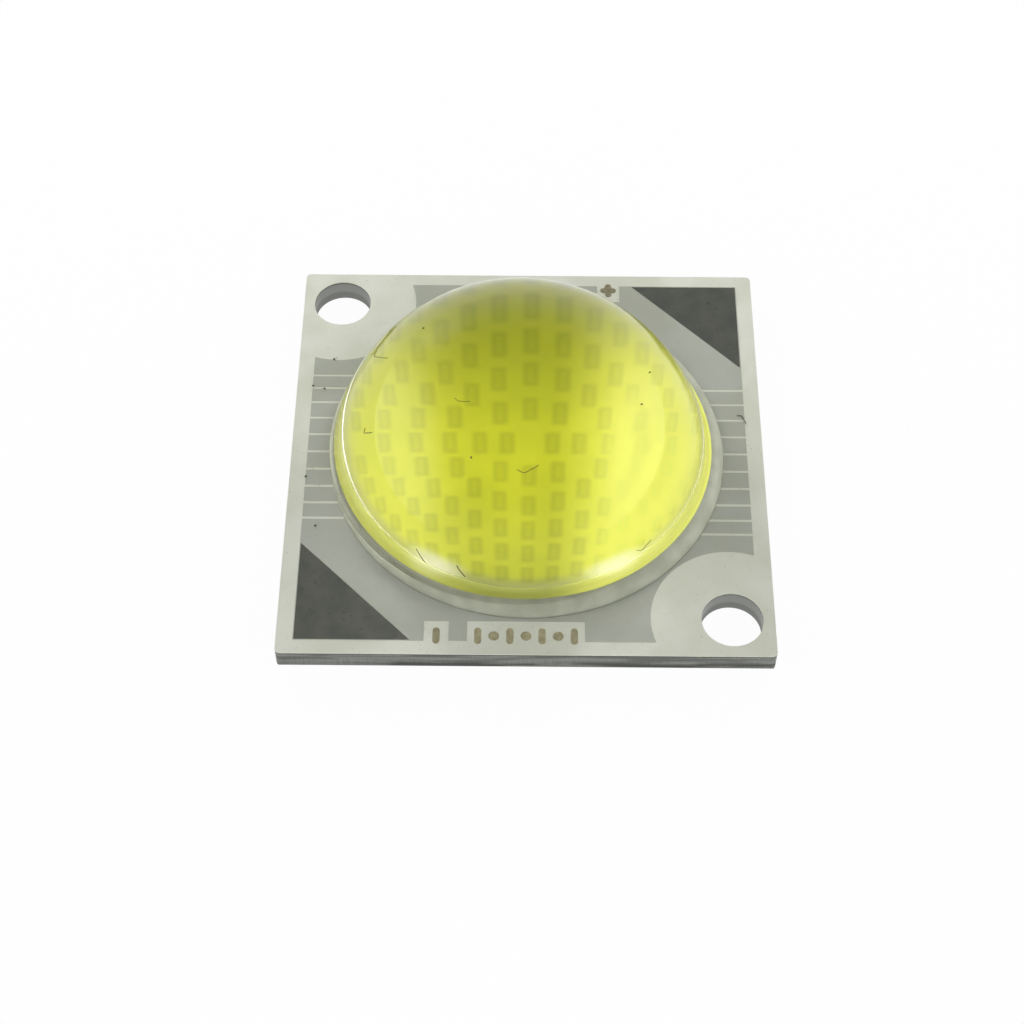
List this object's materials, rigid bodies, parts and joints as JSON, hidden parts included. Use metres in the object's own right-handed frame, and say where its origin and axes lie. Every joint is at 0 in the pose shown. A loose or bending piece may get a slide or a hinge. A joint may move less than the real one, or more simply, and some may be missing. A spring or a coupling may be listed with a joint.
{
  "type": "cob led",
  "caption": "Square aluminium board with screw holes on one diagonal, solder pads on the other, a silicone dam, flip chips under a yellow phosphor fill and a clear silicone dome.",
  "frame": {"origin": "centre of the board's back face", "axes": "+Z out of the back face towards the dome, +X towards the edge beside the positive pad and +Y towards the edge behind it"},
  "size_m": [0.028, 0.028, 0.0113],
  "materials": {
    "aluminium_base": "rolled sheet, punched edges",
    "dielectric": "filled epoxy",
    "copper": "etched foil",
    "white_mask": "screened, satin",
    "tinned_pad": "matte plated",
    "gold_mark": "matte plated",
    "solder": "reflowed",
    "sapphire_chip": "polished",
    "dam_silicone": "translucent, cast",
    "phosphor_silicone": "cast, fine grain",
    "clear_silicone": "cast, clear"
  },
  "bodies": {
    "root": {"base_plate": "aluminium_base", "dielectric_layer": "dielectric", "positive_net": "copper", "negative_net": "copper", "series_link_1": "copper", "series_link_2": "copper", "series_link_3": "copper", "series_link_4": "copper", "series_link_5": "copper", "series_link_6": "copper", "series_link_7": "copper", "series_link_8": "copper", "series_link_9": "copper", "solder_mask": "white_mask", "positive_pad": "tinned_pad", "negative_pad": "tinned_pad", "plus_mark": "gold_mark", "minus_mark": "gold_mark", "row_marks": "gold_mark", "chip_joints_1": "solder", "chip_joints_2": "solder", "chip_joints_3": "solder", "chip_joints_4": "solder", "chip_joints_5": "solder", "chip_joints_6": "solder", "chip_joints_7": "solder", "chip_joints_8": "solder", "chip_joints_9": "solder", "chip_joints_10": "solder", "led_chips_1": "sapphire_chip", "led_chips_2": "sapphire_chip", "led_chips_3": "sapphire_chip", "led_chips_4": "sapphire_chip", "led_chips_5": "sapphire_chip", "led_chips_6": "sapphire_chip", "led_chips_7": "sapphire_chip", "led_chips_8": "sapphire_chip", "led_chips_9": "sapphire_chip", "led_chips_10": "sapphire_chip", "dam_ring": "dam_silicone", "phosphor_fill": "phosphor_silicone", "dome_lens": "clear_silicone"}
  },
  "joints": []
}
